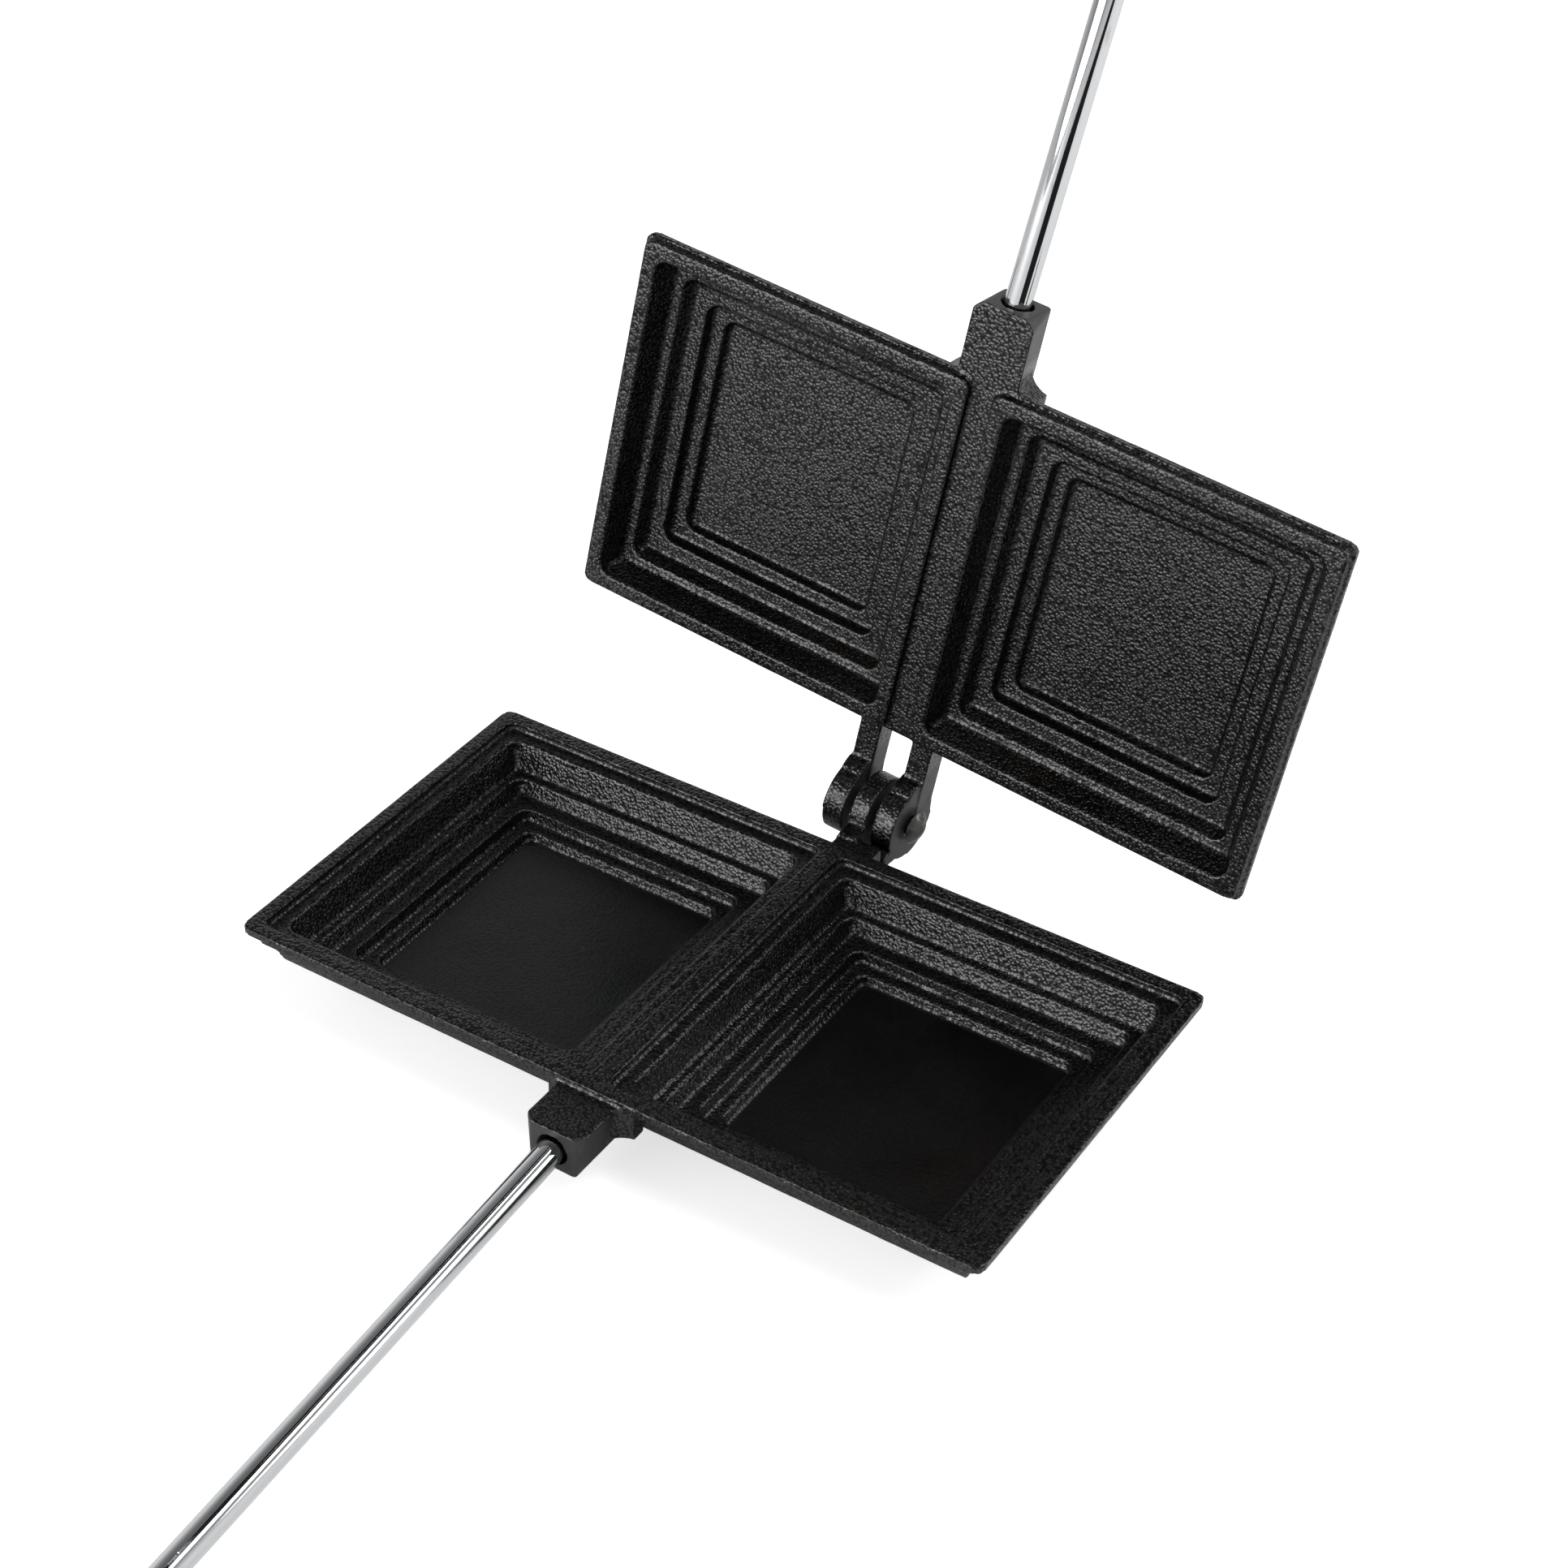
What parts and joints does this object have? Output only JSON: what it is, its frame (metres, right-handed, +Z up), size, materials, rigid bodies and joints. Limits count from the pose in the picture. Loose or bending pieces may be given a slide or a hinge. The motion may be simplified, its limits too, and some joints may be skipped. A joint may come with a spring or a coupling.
{
  "type": "double square pie iron",
  "caption": "Double square pie iron for a campfire: hinged cast-iron pans with stepped square hollows, each pan on a long chromed rod with a wooden grip, shown open.",
  "frame": {"origin": "centre of the lower pan between its two flat undersides, on the plane it stands on", "axes": "+Z up. -Y along the lower rod towards its grip, so +Y is the hinge side. +X to the right when seen from the grips. Rest pose is open, with the upper half's heel on its stop"},
  "size_m": [0.223, 0.8602, 0.7157],
  "materials": {
    "cast_iron": "rough sand cast, seasoned black, with a soft sheen",
    "rod_chrome": "bright plated round bar, lightly pitted",
    "rivet_steel": "dark oiled steel",
    "ferrule_steel": "satin",
    "grip_wood": "turned hardwood, thin clear lacquer"
  },
  "bodies": {
    "lower_half": {"lower_pan": "cast_iron", "lower_rod": "rod_chrome", "lower_ferrule": "ferrule_steel", "lower_grip": "grip_wood", "lower_end_washer": "ferrule_steel", "lower_cap_nut": "ferrule_steel"},
    "upper_half": {"upper_pan": "cast_iron", "hinge_pin": "rivet_steel", "upper_rod": "rod_chrome", "upper_ferrule": "ferrule_steel", "upper_grip": "grip_wood", "upper_end_washer": "ferrule_steel", "upper_cap_nut": "ferrule_steel"}
  },
  "joints": [
    {"name": "lid_hinge", "type": "hinge", "parent": "lower_half", "child": "upper_half", "pos_m": [0, 0.0758, 0.0227], "axis": [0.9972, -0.0488, -0.0558], "range_deg": [0, 98.8]}
  ]
}
